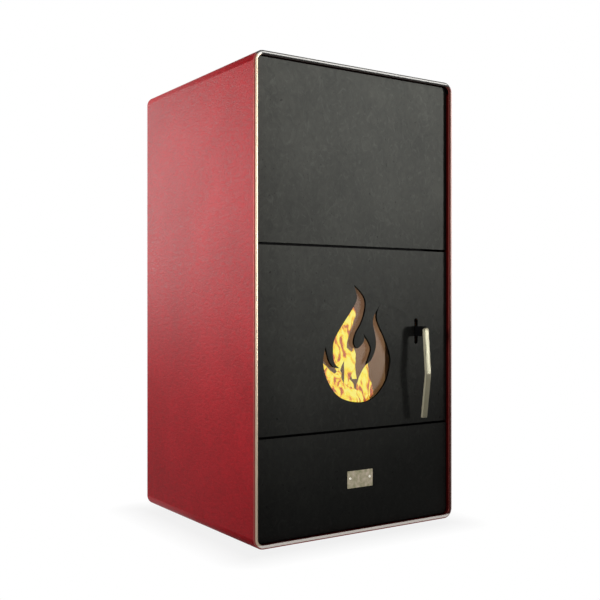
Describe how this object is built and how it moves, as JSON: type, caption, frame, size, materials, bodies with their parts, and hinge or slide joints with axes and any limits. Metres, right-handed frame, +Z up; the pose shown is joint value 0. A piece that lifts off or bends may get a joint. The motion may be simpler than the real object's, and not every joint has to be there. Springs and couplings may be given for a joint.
{
  "type": "pellet boiler stove",
  "caption": "Free-standing pellet boiler stove: rounded red casing, slate-look front, fire door with a flame-shaped window and lever handle, ash drawer, rear flue and water pipes.",
  "frame": {"origin": "on the floor under the middle of the whole object's box, handle and flue spigot included", "axes": "+X to the right as seen from the front, +Y to the rear, +Z up"},
  "size_m": [0.575, 0.6546, 1.1202],
  "materials": {
    "red_paint": "fine leather-look powder coat, satin",
    "reveal_red": "dark red primer inside the front opening",
    "slate_front": "slate-look mottled coating, matt",
    "ivory_trim": "champagne satin anodised",
    "champagne_plate": "brushed champagne",
    "rivet_metal": "bright rivet heads",
    "black_steel": "matt black stove paint",
    "grey_steel": "grey primer on boiler plate",
    "rear_grey": "dark grey powder coat",
    "zinc_steel": "zinc plated sheet",
    "bright_steel": "bare steel",
    "cast_pot": "cast, sooted",
    "lining": "pressed board, dry and brown",
    "door_brown": "brown enamel of the door frame",
    "fire_glass": "ceramic glass, faint amber",
    "rope": "woven rope",
    "black_plastic": "fine texture",
    "key_plastic": "satin",
    "display": "dark window",
    "switch_green": "gloss",
    "pipe_copper": "steel pipe, red primer",
    "pump_red": "painted casting",
    "vessel_red": "gloss red",
    "brass_body": "cast brass",
    "white_ceramic": "fired",
    "box_grey": "moulded"
  },
  "bodies": {
    "root": {"casing": "red_paint", "front_reveal": "reveal_red", "rim_trim": "ivory_trim", "base_plate": "zinc_steel", "levelling_feet": "black_plastic", "front_frame": "black_steel", "upper_panel": "slate_front", "rear_panel": "rear_grey", "rear_screws": "zinc_steel", "hinge_brackets": "black_steel", "latch_keeper": "bright_steel", "ash_compartment": "zinc_steel", "firebox_shell": "grey_steel", "boiler_jacket": "grey_steel", "fire_tubes": "grey_steel", "smoke_box": "grey_steel", "firebox_lining": "lining", "baffle_plate": "lining", "burner_box": "black_steel", "burn_pot": "cast_pot", "igniter": "white_ceramic", "hopper": "zinc_steel", "hopper_grille": "bright_steel", "auger_tube": "bright_steel", "auger_motor": "black_plastic", "feed_chute": "bright_steel", "smoke_duct": "grey_steel", "fan_housing": "grey_steel", "fan_motor": "black_plastic", "flue_spigot": "black_steel", "air_intake": "zinc_steel", "supply_pipe": "pipe_copper", "return_pipe": "pipe_copper", "circulation_pump": "pump_red", "expansion_vessel": "vessel_red", "safety_valve": "brass_body", "control_box": "box_grey", "control_panel": "black_plastic", "display_window": "display", "power_inlet": "black_plastic"},
    "fire_door": {"fire_door_panel": "slate_front", "door_frame": "door_brown", "door_glass": "fire_glass", "glass_clips": "bright_steel", "door_gasket": "rope"},
    "door_latch": {"latch_lever": "black_steel", "handle_bar": "champagne_plate"},
    "ash_drawer": {"drawer_panel": "slate_front", "ash_box": "zinc_steel", "nameplate": "champagne_plate", "nameplate_rivets": "rivet_metal"},
    "filler_lid": {"hopper_lid": "red_paint"},
    "cleaning_rod": {"turbulators": "bright_steel", "cleaning_knob": "black_plastic"},
    "auger": {"auger_screw": "bright_steel"},
    "fan_rotor": {"fan_impeller": "bright_steel"},
    "power_rocker": {"rocker_switch": "switch_green"},
    "up_key": {"key_up": "key_plastic"},
    "down_key": {"key_down": "key_plastic"},
    "ok_key": {"key_ok": "key_plastic"}
  },
  "joints": [
    {"name": "fire_door_hinge", "type": "hinge", "parent": "root", "child": "fire_door", "pos_m": [-0.2565, -0.26725, 0.468], "axis": [0, 0, -1], "range_deg": [0, 100]},
    {"name": "door_latch_lift", "type": "hinge", "parent": "fire_door", "child": "door_latch", "pos_m": [0.179, -0.26375, 0.4825], "axis": [-1, 0, 0], "range_deg": [0, 30]},
    {"name": "ash_drawer_slide", "type": "slide", "parent": "root", "child": "ash_drawer", "axis": [0, -1, 0], "range_m": [0, 0.22]},
    {"name": "filler_lid_hinge", "type": "hinge", "parent": "root", "child": "filler_lid", "pos_m": [0, 0.25525, 1.106], "axis": [-1, 0, 0], "range_deg": [0, 80]},
    {"name": "cleaning_lift", "type": "slide", "parent": "root", "child": "cleaning_rod", "axis": [0, 0, 1], "range_m": [0, 0.045]},
    {"name": "auger_turn", "type": "hinge", "parent": "root", "child": "auger", "pos_m": [0, 0.1, 0.64], "axis": [0, 1, 0], "continuous": true},
    {"name": "fan_turn", "type": "hinge", "parent": "root", "child": "fan_rotor", "pos_m": [0.11, 0.08, 0.215], "axis": [0, 1, 0], "continuous": true},
    {"name": "rocker_tilt", "type": "hinge", "parent": "root", "child": "power_rocker", "pos_m": [0.215, 0.26325, 0.152], "axis": [1, 0, 0], "range_deg": [0, 14]},
    {"name": "key_up_press", "type": "slide", "parent": "root", "child": "up_key", "axis": [0, 0, -1], "range_m": [0, 0.0015], "stiffness_N_per_m": 400, "springref_m": -0.0005},
    {"name": "key_down_press", "type": "slide", "parent": "root", "child": "down_key", "axis": [0, 0, -1], "range_m": [0, 0.0015], "stiffness_N_per_m": 400, "springref_m": -0.0005},
    {"name": "key_ok_press", "type": "slide", "parent": "root", "child": "ok_key", "axis": [0, 0, -1], "range_m": [0, 0.0015], "stiffness_N_per_m": 400, "springref_m": -0.0005}
  ]
}
